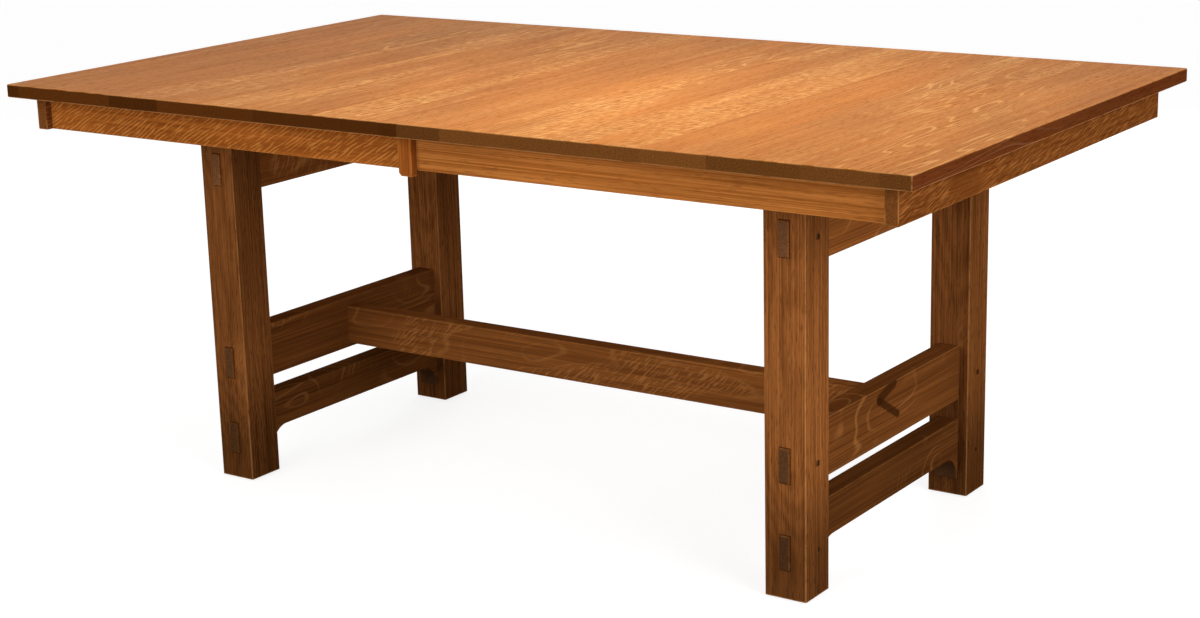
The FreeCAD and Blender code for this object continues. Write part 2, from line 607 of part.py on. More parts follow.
def aprons(side):
    """End apron across one end, a side apron along each long side, and the blocks behind them."""
    name = SIDE_NAMES[side]
    tall = (APRON_BASE, UNDERSIDE)
    lowest = lies_at(ALONG_Z, value(APRON_BASE))
    lengthwise = runs_along(ALONG_X)
    end = block(f"{name}_end_apron_board", span(APRON_END_IN, APRON_END_OUT, side),
                (f"-{APRON_END_Y}", APRON_END_Y), tall)
    node(eased(f"{name}_end_apron", end, "apron_arris", lowest), f"{name}_end_apron")
    corners, blocks = [], []
    for face, face_name in FACE_NAMES.items():
        label = f"{name}_{face_name}_apron"
        board = block(f"{label}_board", span(SEAM, APRON_END_IN, side),
                      span(APRON_SIDE_IN, APRON_SIDE_OUT, face), tall)
        node(eased(label, board, "apron_arris", lambda edge: lowest(edge) and lengthwise(edge)), label)
        corners.append(corner_block(f"{label}_corner_block", side, face))
        inside = span(f"{APRON_SIDE_IN} - glue_block", APRON_SIDE_IN, face)
        for number in (1, 2):
            place = f"{side} * ({APRON_END_IN} - corner_block - {number} * glue_block_spacing / 2)"
            blocks.append(block(f"{label}_glue_block_{number}", about(place, "glue_block_length"), inside,
                                (f"{UNDERSIDE} - glue_block", UNDERSIDE)))
    blocks.append(block(f"{name}_end_glue_block", span(f"{APRON_END_IN} - glue_block", APRON_END_IN, side),
                        about("0", "glue_block_length"), (f"{UNDERSIDE} - glue_block", UNDERSIDE)))
    node(group(f"{name}_corner_blocks", corners), f"{name}_corner_blocks")
    node(group(f"{name}_glue_blocks", blocks), f"{name}_glue_blocks")


def corner_block(title, side, face):
    """Three-cornered block between an end apron and a side apron."""
    item = doc.addObject("Part::Wedge", title)
    wide, narrow = span("-corner_block", "0", side), span("-corner_block_tip", "0", side)
    front, back = (wide, narrow) if face == FRONT else (narrow, wide)
    deep = span("-corner_block", "0", face)
    bind(item, Xmin=front[0], Xmax=front[1], X2min=back[0], X2max=back[1], Ymin=deep[0], Ymax=deep[1])
    bind(item, Zmin="-corner_block_height", Zmax="0", Z2min="-corner_block_height", Z2max="0")
    return bind(item, Base_x=f"{side} * {APRON_END_IN}", Base_y=f"{face} * {APRON_SIDE_IN}", Base_z=UNDERSIDE)


def seam_details():
    """Blocks that cover the apron seam on the left half, and the dowels that line the halves up."""
    blocks = []
    for face, name in FACE_NAMES.items():
        body = block(f"{name}_seam_block_body", (f"-{SEAM} - seam_block_width", f"-{SEAM}"),
                     span(APRON_SIDE_OUT, APRON_END_Y, face), (f"{APRON_BASE} - seam_block_drop", UNDERSIDE))
        low = lies_at(ALONG_Z, value(f"{APRON_BASE} - seam_block_drop"))
        outer = lies_at(ALONG_X, value(f"-{SEAM} - seam_block_width"))
        blocks.append(eased(f"{name}_seam_block", body, "seam_block_chamfer",
                            lambda edge: low(edge) and outer(edge), "Part::Chamfer"))
    node(group("left_seam_blocks", blocks), "left_seam_blocks")
    start = f"-{SEAM} - dowel_length / 2"
    pins = [rod(f"seam_dowel_{number + 1}", start, place, DOWEL_LEVEL, "dowel_diameter", "dowel_length", "x")
            for number, place in enumerate(dowel_places())]
    node(group("seam_dowels", pins), "seam_dowels")


PIVOT_X = "(-latch_setback)"
KEEPER_X = "(latch_radius - latch_setback)"
LEVER_TOP = f"({UNDERSIDE} - latch_plate - lever_gap)"
LEVER_BASE = f"({LEVER_TOP} - lever_thick)"
RIVET_BASE = f"({LEVER_BASE} - lever_gap - rivet_head_thick)"


def latches():
    """Turning latches under the seam: plate and pivot on the left half, lever, keeper on the right half."""
    plates, keepers = [], []
    under = (f"{UNDERSIDE} - latch_plate", UNDERSIDE)
    for face, name in FACE_NAMES.items():
        middle = f"{face} * {LATCH_Y}"
        wide = about(middle, "latch_plate_width")
        plate = span("latch_edge", "latch_edge + latch_plate_length", LEFT)
        plates.append(fused(f"{name}_latch_plate", [
            block(f"{name}_latch_plate_sheet", plate, wide, under),
            rod(f"{name}_latch_pivot", PIVOT_X, middle, RIVET_BASE, "latch_pivot",
                f"{UNDERSIDE} - latch_plate - {RIVET_BASE}"),
            rod(f"{name}_latch_rivet", PIVOT_X, middle, RIVET_BASE, "rivet_head", "rivet_head_thick")]))
        plate = span("latch_edge", "latch_edge + latch_plate_length", RIGHT)
        keepers.append(fused(f"{name}_latch_keeper", [
            block(f"{name}_latch_keeper_sheet", plate, wide, under),
            rod(f"{name}_latch_stud", KEEPER_X, middle, f"{UNDERSIDE} - latch_plate - keeper_length",
                "keeper_stud", "keeper_length")]))
        lever(name, face, middle)
    node(group("latch_plates", plates), "latch_plates")
    node(group("latch_keepers", keepers), "latch_keepers")


def lever(name, face, middle):
    """Latch lever, swung clear of the seam, pointing to the table's middle; it turns towards the keeper."""
    label = f"{name}_latch_lever"
    flat = (LEVER_BASE, LEVER_TOP)
    along = span(f"{LATCH_Y} - lever_tip", f"{LATCH_Y} + lever_tail", face)
    tab = span(f"{LATCH_Y} + lever_tail - lever_thick", f"{LATCH_Y} + lever_tail", face)
    across = about(PIVOT_X, "lever_width")
    whole = fused(f"{label}_whole", [
        block(f"{label}_strip", across, along, flat),
        block(f"{label}_tab", across, tab, (f"{LEVER_BASE} - lever_tab", LEVER_TOP))])
    pivot = (PIVOT_X, middle, LEVER_BASE)
    outer = rod(f"{label}_ring_out", *pivot, "2 * latch_radius + keeper_slot", "lever_thick")
    inner = rod(f"{label}_ring_in", *pivot, "2 * latch_radius - keeper_slot", "lever_thick")
    ring = cut(f"{label}_ring", outer, [inner])
    mouth = block(f"{label}_mouth", (f"{PIVOT_X} - keeper_slot / 2", f"{PIVOT_X} + lever_width"),
                  span(f"{LATCH_Y} - lever_tip", f"{LATCH_Y} - latch_pivot", face), flat)
    slot = doc.addObject("Part::Common", f"{label}_slot")
    slot.Base = ring
    slot.Tool = mouth
    hole = rod(f"{label}_hole", *pivot, "latch_pivot + 2 * latch_pivot_clearance", "lever_thick")
    node(cut(label, whole, [slot, hole]), label)


def leaf_carriers():
    """Cross bars under the slides that carry the stored leaf, with a stop at each end of the leaf."""
    stops = []
    reach = f"({RUNNER_Y} + runner_thick / 2)"
    near = f"({FOLD_Y} + stop_clearance)"
    for side, name in SIDE_NAMES.items():
        across = about(carrier_x(side), "carrier_width")
        bar = block(f"{name}_carrier_bar", across, (f"-{reach}", reach),
                    (f"{CLEAT_TOP} - carrier_thick", CLEAT_TOP))
        holes = [screw(f"{name}_{face_name}_carrier_hole", carrier_x(side), f"{face} * {RUNNER_Y}",
                       f"{CLEAT_TOP} - carrier_thick", CLEAT_TOP) for face, face_name in FACE_NAMES.items()]
        node(cut(f"{name}_leaf_carrier", bar, holes), f"{name}_leaf_carrier")
        for face, face_name in FACE_NAMES.items():
            stops.append(block(f"{name}_{face_name}_leaf_stop", across,
                               span(near, f"{near} + stop_thick", face),
                               (LEAF_BASE, f"{LEAF_BASE} + stop_height")))
    node(group("leaf_stops", stops), "leaf_stops")


KNUCKLE_EDGE = f"({FOLD_Y} - hinge_barrel / 2 - hinge_room)"


def leaf():
    """The two leaf panels, folded face to face about hinges at their back edge."""
    fold = f"({LEAF_BASE} + top_thick)"
    wide = ("-leaf_width / 2", "leaf_width / 2")
    hinges = ["-hinge_spacing", "0", "hinge_spacing"]
    panels = {"lower": (LEAF_BASE, fold, -1), "upper": (fold, f"{fold} + top_thick", 1)}
    dowel_start = "leaf_width / 2 - dowel_length / 2"
    dowels, plates = [], []
    for name, (low, high, way) in panels.items():
        board = block(f"leaf_{name}_board", wide, (f"-{FOLD_Y}", FOLD_Y), (low, high))
        face = f"{way} * {fold}"
        bed_height = span(face, f"{face} + hinge_plate", way)
        notch_height = span(face, f"{face} + hinge_barrel / 2 + hinge_room", way)
        holes = []
        for number, place in enumerate(hinges):
            title = f"leaf_{name}_hinge_{number}"
            width = about(place, "hinge_width")
            holes.append(fused(f"{title}_pocket", [
                block(f"{title}_bed", width, (f"{FOLD_Y} - hinge_depth", FOLD_Y), bed_height),
                block(f"{title}_notch", width, (KNUCKLE_EDGE, FOLD_Y), notch_height)]))
            plates.append(hinge_plate(title, place, fold, way))
        level = f"({low} + top_thick / 2)"
        for number, place in enumerate(DOWEL_OFFSETS):
            title = f"leaf_{name}_dowel_{number}"
            across = (f"{FOLD_Y} - {place}", level)
            holes.append(rod(f"{title}_hole", dowel_start, *across, "dowel_diameter", "dowel_length / 2",
                             "x"))
            holes.append(rod(f"{title}_socket", "-leaf_width / 2", *across, SOCKET, SOCKET_DEPTH, "x"))
            dowels.append(rod(title, dowel_start, *across, "dowel_diameter", "dowel_length", "x"))
        node(cut(f"leaf_{name}_panel", board, holes), f"leaf_{name}_panel")
    pins = [rod(f"leaf_hinge_pin_{number}", f"{place} - hinge_width / 2", FOLD_Y, fold,
                "hinge_pin", "hinge_width", "x") for number, place in enumerate(hinges)]
    node(group("leaf_hinge_plates", plates), "leaf_hinge_plates")
    node(group("leaf_hinge_pins", pins), "leaf_hinge_pins")
    node(group("leaf_dowels", dowels), "leaf_dowels")


def hinge_plate(title, place, fold, way):
    """One flap of a hinge: a plate let into the panel's face, and its knuckles about the pin."""
    middle_third = about(place, "hinge_width / 3")
    outer_thirds = [(f"{place} - hinge_width / 2", f"{place} - hinge_width / 6"),
                    (f"{place} + hinge_width / 6", f"{place} + hinge_width / 2")]
    thirds = [middle_third] if way > 0 else outer_thirds
    height = span(f"{way} * {fold}", f"{way} * {fold} + hinge_plate", way)
    flap = block(f"{title}_flap", about(place, "hinge_width"),
                 (f"{FOLD_Y} - hinge_depth", KNUCKLE_EDGE), height)
    arms, knuckles = [], []
    for number, (low, high) in enumerate(thirds):
        start, stop = f"{low} + hinge_room / 2", f"{high} - hinge_room / 2"
        arms.append(block(f"{title}_arm_{number}", (start, stop), (KNUCKLE_EDGE, FOLD_Y), height))
        knuckles.append(rod(f"{title}_knuckle_{number}", start, FOLD_Y, fold, "hinge_barrel",
                            f"({stop}) - ({start})", "x"))
    whole = fused(f"{title}_whole", [flap] + arms + knuckles)
    bore = rod(f"{title}_bore", f"{place} - hinge_width / 2", FOLD_Y, fold, "hinge_pin",
               "hinge_width", "x")
    return cut(title, whole, [bore])


for trestle in (LEFT, RIGHT):
    for long_side in (FRONT, BACK):
        leg(trestle, long_side)
    rails(trestle)
stretcher()
pegs_and_glides()
cleats()
runners()
gears()
for half in (LEFT, RIGHT):
    top_half(half)
seam_details()
latches()
leaf_carriers()
leaf()

doc.recompute()
for item in doc.Objects:
    if "Invalid" in item.State or "Error" in item.State:
        raise RuntimeError(f"{item.Label} failed: {item.State}")
os.makedirs("parts", exist_ok=True)
for item in nodes:
    shape = item.Shape
    if shape.isNull() or not shape.isValid() or not shape.Solids:
        raise RuntimeError(f"{item.Label} has no valid solid")
for item in nodes:
    item.Shape.exportStep(f"parts/{item.Label}.step")
print(len(nodes), "sub-parts,", sum(len(item.Shape.Solids) for item in nodes), "solids")
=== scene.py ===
"""Oak trestle dining table with a sliding top and a stored folding leaf, dressed from its solids.

Lengths are in metres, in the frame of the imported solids: +X along the table, +Y to the back, +Z up.
"""

import logging
import math
from collections.abc import Sequence
from dataclasses import dataclass, field, replace
from enum import Enum

import bpy
from mathutils import Matrix, Vector


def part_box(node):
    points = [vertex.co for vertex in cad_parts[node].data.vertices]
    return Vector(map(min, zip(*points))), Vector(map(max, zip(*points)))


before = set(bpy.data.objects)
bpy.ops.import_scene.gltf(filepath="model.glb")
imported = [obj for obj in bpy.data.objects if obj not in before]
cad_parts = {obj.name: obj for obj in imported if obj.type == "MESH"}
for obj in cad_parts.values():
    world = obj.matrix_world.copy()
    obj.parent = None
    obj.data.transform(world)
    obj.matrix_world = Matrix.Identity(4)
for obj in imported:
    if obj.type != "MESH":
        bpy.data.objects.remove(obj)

LOG = logging.getLogger("table")
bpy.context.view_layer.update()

Rgb = tuple[float, float, float]
Triple = tuple[float, float, float]
Pair = tuple[float, float]
Socket = bpy.types.NodeSocket
Place = tuple[Socket, Socket, Socket]
Input = Socket | float | int

# Noise and random shares lie about this value.
MIDDLE = 0.5

# Sockets of a mix node that take and give colours.
MIX_SHARE, MIX_FIRST, MIX_SECOND, MIX_RESULT = 0, 6, 7, 2


def linear(red: int, green: int, blue: int) -> Rgb:
    """Turn a screen colour into the linear colour that shaders take, by the sRGB standard.

    Args:
        red: Red from 0 to 255.
        green: Green from 0 to 255.
        blue: Blue from 0 to 255.

    Returns:
        The linear colour.
    """
    shares = [channel / 255 for channel in (red, green, blue)]
    return tuple(s / 12.92 if s <= 0.04045 else ((s + 0.055) / 1.055) ** 2.4 for s in shares)


class Grain(Enum):
    """The way that a piece's fibres run."""

    ALONG_X = 0
    ALONG_Y = 1
    ALONG_Z = 2


class Face(Enum):
    """A long side of the table."""

    FRONT = "front"
    BACK = "back"


class Side(Enum):
    """An end of the table."""

    LEFT = "left"
    RIGHT = "right"


class Level(Enum):
    """A rail's place in its trestle."""

    TOP = "top"
    MIDDLE = "middle"
    LOWER = "lower"


class Graph:
    """A material's node tree, with short calls for the nodes that the finishes use."""

    def __init__(self, name: str) -> None:
        """Start an empty material with a principled shader.

        Args:
            name: The material's name.
        """
        self.material = bpy.data.materials.new(name)
        self.material.use_nodes = True
        self.tree = self.material.node_tree
        self.shader = self.tree.nodes["Principled BSDF"]

    def put(self, socket: Socket, value: Input | Rgb) -> None:
        """Link a socket, or set its constant.

        Args:
            socket: The input socket.
            value: Another node's output, or a constant.
        """
        if isinstance(value, bpy.types.NodeSocket):
            self.tree.links.new(value, socket)
        elif isinstance(value, tuple) and socket.type == "RGBA":
            socket.default_value = (*value, 1.0)
        else:
            socket.default_value = value

    def paint(self, socket: str, value: Input | Rgb) -> None:
        """Link or set one of the shader's own sockets."""
        self.put(self.shader.inputs[socket], value)

    def math(self, operation: str, first: Input, second: Input = 0.0) -> Socket:
        """Add a math node.

        Args:
            operation: The node's operation.
            first: Its first value.
            second: Its second value.

        Returns:
            The result.
        """
        node = self.tree.nodes.new("ShaderNodeMath")
        node.operation = operation
        self.put(node.inputs[0], first)
        self.put(node.inputs[1], second)
        return node.outputs[0]

    def plus(self, first: Input, second: Input) -> Socket:
        """Add two numbers."""
        return self.math("ADD", first, second)

    def less(self, first: Input, second: Input) -> Socket:
        """Take the second number from the first."""
        return self.math("SUBTRACT", first, second)

    def times(self, first: Input, second: Input) -> Socket:
        """Multiply two numbers."""
        return self.math("MULTIPLY", first, second)

    def size(self, value: Input) -> Socket:
        """Drop a number's sign."""
        return self.math("ABSOLUTE", value)

    def weigh(self, share: float, first: Input, second: Input) -> Socket:
        """Mix two numbers, with the given share of the second."""
        return self.plus(self.times(first, 1 - share), self.times(second, share))

    def wave(self, phase: Input) -> Socket:
        """Run a sine between 0 and 1."""
        return self.plus(self.times(self.math("SINE", phase), 0.5), 0.5)

    def vector(self, x: Input, y: Input, z: Input) -> Socket:
        """Join three numbers.

        Args:
            x: First number.
            y: Second number.
            z: Third number.

        Returns:
            The vector.
        """
        node = self.tree.nodes.new("ShaderNodeCombineXYZ")
        for socket, value in zip(node.inputs, (x, y, z)):
            self.put(socket, value)
        return node.outputs[0]

    def split(self, vector: Socket) -> Place:
        """Part a vector into its three numbers.

        Args:
            vector: The vector.

        Returns:
            Its numbers.
        """
        node = self.tree.nodes.new("ShaderNodeSeparateXYZ")
        self.put(node.inputs[0], vector)
        return tuple(node.outputs)

    def place(self, output: str) -> Place:
        """Read a texture coordinate that stays with the piece.

        Args:
            output: Object for the place, Normal for the way that the surface faces.

        Returns:
            The coordinate's three numbers.
        """
        node = self.tree.nodes.new("ShaderNodeTexCoord")
        return self.split(node.outputs[output])

    def noise(self, place: Sequence[Input], rates: Triple, detail: float,
              roughness: float = 0.5) -> Socket:
        """Add a noise.

        Args:
            place: The place, as three numbers.
            rates: Changes per metre along each of them.
            detail: Number of finer layers.
            roughness: Strength of the finer layers.

        Returns:
            Values about 0.5.
        """
        node = self.tree.nodes.new("ShaderNodeTexNoise")
        scaled = self.vector(*(self.times(axis, rate) for axis, rate in zip(place, rates)))
        self.put(node.inputs["Vector"], scaled)
        node.inputs["Scale"].default_value = 1.0
        node.inputs["Detail"].default_value = detail
        node.inputs["Roughness"].default_value = roughness
        return node.outputs["Fac"]

    def step(self, value: Input, limits: Pair) -> Socket:
        """Rise smoothly from 0 to 1 between two values.

        Args:
            value: The value.
            limits: Where the rise starts and ends; if the first is larger, it falls instead.

        Returns:
            A share from 0 to 1.
        """
        node = self.tree.nodes.new("ShaderNodeMapRange")
        node.interpolation_type = "SMOOTHSTEP"
        self.put(node.inputs["Value"], value)
        for name, limit in zip(("From Min", "From Max"), limits):
            node.inputs[name].default_value = limit
        return node.outputs["Result"]

    def mix(self, share: Input, first: Socket | Rgb, second: Socket | Rgb,
            blend: str = "MIX") -> Socket:
        """Mix two colours.

        Args:
            share: Share of the second colour.
            first: First colour.
            second: Second colour.
            blend: The node's way of mixing.

        Returns:
            The mixed colour.
        """
        node = self.tree.nodes.new("ShaderNodeMix")
        node.data_type = "RGBA"
        node.blend_type = blend
        self.put(node.inputs[MIX_SHARE], share)
        self.put(node.inputs[MIX_FIRST], first)
        self.put(node.inputs[MIX_SECOND], second)
        return node.outputs[MIX_RESULT]

    def scale(self, colour: Socket | Rgb, value: Input) -> Socket:
        """Multiply a colour's channels by a number."""
        return self.mix(1.0, colour, self.vector(value, value, value), "MULTIPLY")

    def vary(self, colour: Socket | Rgb, value: Input, reach: float) -> Socket:
        """Make a colour lighter or darker.

        Args:
            colour: The colour.
            value: A number whose middle value leaves the colour as it is.
            reach: How far the colour changes when the number changes by 1.

        Returns:
            The changed colour.
        """
        change = self.times(self.less(value, MIDDLE), reach)
        return self.scale(colour, self.plus(change, 1.0))

    def boards(self, across: Input, width: float, uneven: float = 0.55) -> Place:
        """Part a panel into boards of uneven width.

        Args:
            across: Distance across the panel.
            width: Usual width of a board.
            uneven: How much the widths differ.

        Returns:
            Three random numbers that are the same all over a board.
        """
        node = self.tree.nodes.new("ShaderNodeTexVoronoi")
        node.voronoi_dimensions = "1D"
        self.put(node.inputs["W"], across)
        node.inputs["Scale"].default_value = 1 / width
        node.inputs["Randomness"].default_value = uneven
        return self.split(node.outputs["Color"])

    def bump(self, height: Socket, depth: float, strength: float) -> None:
        """Raise the surface by a height.

        Args:
            height: Height from 0 to 1.
            depth: Depth of a height of 1.
            strength: Share of the relief that shows.
        """
        node = self.tree.nodes.new("ShaderNodeBump")
        node.inputs["Strength"].default_value = strength
        node.inputs["Distance"].default_value = depth
        self.put(node.inputs["Height"], height)
        self.paint("Normal", node.outputs[0])


@dataclass(frozen=True)
class Seat:
    """The end of a through tenon in a leg's face, with painted shade in a thin ring around it."""

    x: float
    z: float
    width: float
    height: float
    shade_width: float = 0.003

    def painted_shade_share(self, graph: Graph, place: Place) -> Socket:
        """Share of pooled stain, just outside the tenon.

        Args:
            graph: The material.
            place: The place on the leg.

        Returns:
            A share from 0 to 1.
        """
        beside = graph.less(graph.size(graph.less(place[0], self.x)), self.width / 2)
        above = graph.less(graph.size(graph.less(place[2], self.z)), self.height / 2)
        return graph.step(graph.math("MAXIMUM", beside, above), (self.shade_width, 0.0))


@dataclass(frozen=True)
class ShadowMark:
    """A painted shadow on a rail's right face: a dark stroke between two points of that face."""

    start: Pair
    end: Pair
    half_width: float
    core: float = 0.5
    facing: float = 0.5

    def share(self, graph: Graph, place: Place) -> Socket:
        """Share of painted shadow, which fades out at the stroke's sides.

        Args:
            graph: The material.
            place: The place on the rail.

        Returns:
            A share from 0 to 1.
        """
        run = [end - start for start, end in zip(self.start, self.end)]
        square = math.hypot(*run) ** 2
        aside = [graph.less(axis, start) for axis, start in zip(place[1:], self.start)]
        along = graph.plus(*(graph.times(axis, part / square) for axis, part in zip(aside, run)))
        along = graph.math("MINIMUM", graph.math("MAXIMUM", along, 0.0), 1.0)
        gaps = [graph.less(axis, graph.times(along, part)) for axis, part in zip(aside, run)]
        away = graph.math("SQRT", graph.plus(*(graph.times(gap, gap) for gap in gaps)))
        near = graph.step(away, (self.half_width, self.half_width * self.core))
        turned = graph.math("GREATER_THAN", graph.place("Normal")[0], self.facing)
        return graph.times(near, turned)


# Wood figure: rates are changes per metre, along the fibres and across them.
CLOUD_RATE: Pair = (3.0, 9.0)
FINE_LINE_RATE = 3.0
BROAD_LINE_RATE = 1.5
PORE_RATE: Pair = (45.0, 520.0)
SWAY_RATE: Pair = (16.0, 24.0)
JITTER_RATE: Pair = (6.0, 60.0)
DRIFT_RATES: Triple = (3.5, 9.0, 5.3)
END_RATES: Triple = (420.0, 420.0, 420.0)
WEAR_RATES: Triple = (30.0, 30.0, 30.0)

# Wood figure: limits are where a share starts and where it is full.
LINE_LIMITS: Pair = (0.3, 0.7)
RING_LIMITS: Pair = (0.0, 0.95)
PORE_LIMITS: Pair = (0.57, 0.7)
FLECK_LIMITS: Pair = (0.5, 0.62)
PATCH_LIMITS: Pair = (0.78, 0.92)
LOOP_LIMITS: Pair = (0.16, 0.02)
LOOP_PATCH_LIMITS: Pair = (0.45, 0.65)
SPECKLE_LIMITS: Pair = (0.3, 0.7)
END_LIMITS: Pair = (0.55, 0.9)
RIM_LIMITS: Pair = (0.8, 0.4)
WEAR_LIMITS: Pair = (0.32, 0.55)
WEAR_WIDTH: Pair = (0.0024, 0.0008)

# Wood figure: how strongly one thing acts on another.
BROAD_LINE_SHARE = 0.12
RING_DRIFT = 0.06
RING_JITTER = 1.2
FLECK_COVER_REACH = 0.6
BOARD_COVER_REACH = 0.5
BOARD_SHIFT = 3.7
BOARD_END_REACH = 7.0
END_DARK = 0.6
# Painted shade: the tone of the painted shade around tenon ends and of the painted shadow strokes, as
# a share of the dark wood.
PAINTED_SHADE_TONE = 0.3
# Painted shadow: the strength of the dark strokes on the right middle rail.
SHADOW_MARK_SHARE = 0.8
LINE_SMOOTHNESS = 0.08
PORE_ROUGHNESS = 0.15
LINE_RELIEF = 0.4
RELIEF_DEPTH = 0.0005
RELIEF_SHARE = 0.3


@dataclass(frozen=True)
class WoodFinish:
    """A stained or bare wood with growth rings, ray fleck, pores, end grain and worn arrises."""

    dark: Rgb
    light: Rgb
    fleck: Rgb
    end: Rgb
    worn: Rgb
    # Scales every colour; the legs and rails use it for painted light and shade.
    tone: float = 1.0
    cloud: float = 0.5
    line_gap: float = 0.004
    line_share: float = 0.7
    ring_gap: float = 0.007
    ring_share: float = 0.0
    pith: Pair = (0.03, 0.07)
    pith_lean: float = 0.03
    pore_share: float = 0.5
    fleck_share: float = 0.5
    fleck_cover: float = 0.5
    fleck_angle: float = 25.0
    fleck_thick: float = 0.003
    fleck_length: float = 0.024
    fleck_sway: float = 0.01
    fleck_patch: Pair = (5.0, 11.0)
    fleck_even: float = 0.0
    loop_share: float = 0.0
    loop_scale: Pair = (5.0, 11.0)
    loop_count: float = 8.0
    loop_patch: Pair = (6.0, 9.0)
    board_width: float = 0.0
    board_tone: float = 0.1
    rim_tone: Rgb | None = None
    # Painted shade: the share of the colour left at the feet, and the heights over which it fades in.
    foot_shade: float = 1.0
    foot_shade_rise: Pair = (0.06, 0.26)
    wear: float = 0.5
    roughness: float = 0.48
    gloss: float = 0.0
    gloss_tint: Rgb = (1.0, 0.82, 0.62)

    def shade(self, colour: Rgb) -> Rgb:
        """Scale a colour by the piece's tone."""
        return tuple(channel * self.tone for channel in colour)

    def material(self, name: str, grain: Grain, low: Triple, high: Triple,
                 seats: Sequence[Seat], shadow_marks: Sequence[ShadowMark]) -> bpy.types.Material:
        """Make the finish for one piece.

        Args:
            name: The material's name.
            grain: The way that the fibres run.
            low: Lowest corner of the box whose edges are worn.
            high: Highest corner of that box.
            seats: Tenon ends with painted shade around them.
            shadow_marks: Painted shadow strokes.

        Returns:
            The material.
        """
        graph = Graph(name)
        place = graph.place("Object")
        across = [axis for axis in range(3) if axis != grain.value]
        fibre = (place[grain.value], *(place[axis] for axis in across))
        boards: Place | None = None
        if self.board_width:
            boards = graph.boards(fibre[1], self.board_width)
            shift = graph.times(boards[0], BOARD_SHIFT)
            fibre = (graph.plus(fibre[0], shift), *fibre[1:])
        lines = self.lines(graph, fibre)
        if self.ring_share:
            heart = [(low[axis] + high[axis]) / 2 + offset
                     for axis, offset in zip(across, self.pith)]
            lines = graph.weigh(self.ring_share, lines, self.rings(graph, fibre, heart))
        pores = self.pores(graph, fibre)
        colour = self.figure(graph, fibre, lines, pores, boards)
        gloss: Input = self.gloss
        if self.rim_tone:
            upright = graph.step(graph.size(graph.place("Normal")[2]), RIM_LIMITS)
            colour = graph.mix(upright, colour, self.rim_tone, "MULTIPLY")
            gloss = graph.times(graph.less(1.0, upright), self.gloss)
        # Painted shade: the colour darkens towards the feet, where less light reaches near the floor.
        if self.foot_shade < 1.0:
            risen = graph.times(graph.step(place[2], self.foot_shade_rise), 1 - self.foot_shade)
            colour = graph.scale(colour, graph.plus(risen, self.foot_shade))
        end = self.end_colour(graph, place, boards)
        colour = graph.mix(self.end_share(graph, grain), colour, end)
        worn = self.wear_share(graph, place, low, high)
        colour = graph.mix(worn, colour, self.shade(self.worn))
        # Painted shade and painted shadow, darker than the dark wood.
        painted_shade = tuple(channel * PAINTED_SHADE_TONE for channel in self.dark)
        for seat in seats:
            colour = graph.mix(seat.painted_shade_share(graph, place), colour, painted_shade)
        for shadow_mark in shadow_marks:
            share = graph.times(shadow_mark.share(graph, place), SHADOW_MARK_SHARE)
            colour = graph.mix(share, colour, painted_shade)
        self.polish(graph, colour, gloss, lines, pores)
        return graph.material

    def figure(self, graph: Graph, fibre: Place, lines: Socket, pores: Socket,
               boards: Place | None) -> Socket:
        """Colour the long grain.

        Args:
            graph: The material.
            fibre: Distance along the fibres and two distances across them.
            lines: Share of the light tone.
            pores: Share of pore.
            boards: Each board's random numbers, or None for a piece of one board.

        Returns:
            The colour.
        """
        colour = graph.mix(lines, self.shade(self.dark), self.shade(self.light))
        clouds = self.stretched(graph, fibre, CLOUD_RATE, detail=2.0)
        colour = graph.vary(colour, clouds, self.cloud)
        cover: Input = MIDDLE
        if boards:
            colour = graph.vary(colour, boards[1], self.board_tone)
            cover = boards[2]
        colour = graph.mix(graph.times(pores, self.pore_share), colour, self.shade(self.end))
        flecks = graph.times(self.flecks(graph, fibre, cover), self.fleck_share)
        colour = graph.mix(flecks, colour, self.shade(self.fleck))
        if self.loop_share:
            loops = graph.times(self.loops(graph, fibre), self.loop_share)
            colour = graph.mix(loops, colour, self.shade(self.fleck))
        return colour

    def polish(self, graph: Graph, colour: Socket, gloss: Input, lines: Socket,
               pores: Socket) -> None:
        """Set the shader's colour, gloss and relief.

        Args:
            graph: The material.
            colour: The finished colour.
            gloss: Strength of the gloss.
            lines: Share of the light tone, which is smoother.
            pores: Share of pore, which is rougher and sunk.
        """
        graph.paint("Base Color", colour)
        graph.paint("Specular IOR Level", gloss)
        graph.paint("Specular Tint", self.gloss_tint)
        rough = graph.less(self.roughness, graph.times(lines, LINE_SMOOTHNESS))
        graph.paint("Roughness", graph.plus(rough, graph.times(pores, PORE_ROUGHNESS)))
        relief = graph.less(graph.times(lines, LINE_RELIEF), pores)
        graph.bump(relief, RELIEF_DEPTH, RELIEF_SHARE)

    def stretched(self, graph: Graph, fibre: Place, rate: Pair, detail: float) -> Socket:
        """Noise drawn out along the fibres.

        Args:
            graph: The material.
            fibre: Distance along the fibres and two distances across them.
            rate: Changes per metre along the fibres and across them.
            detail: Number of finer layers.

        Returns:
            Values about 0.5.
        """
        lengthwise, crosswise = rate
        return graph.noise(fibre, (lengthwise, crosswise, crosswise), detail)

    def lines(self, graph: Graph, fibre: Place) -> Socket:
        """Fine and broad stripes along the fibres.

        Args:
            graph: The material.
            fibre: Distance along the fibres and two distances across them.

        Returns:
            A share of the light tone.
        """
        crosswise = 1 / self.line_gap
        fine = self.stretched(graph, fibre, (FINE_LINE_RATE, crosswise), detail=3.0)
        broad_rate = (BROAD_LINE_RATE, BROAD_LINE_SHARE * crosswise)
        broad = self.stretched(graph, fibre, broad_rate, detail=2.0)
        return graph.step(graph.weigh(self.line_share, broad, fine), LINE_LIMITS)

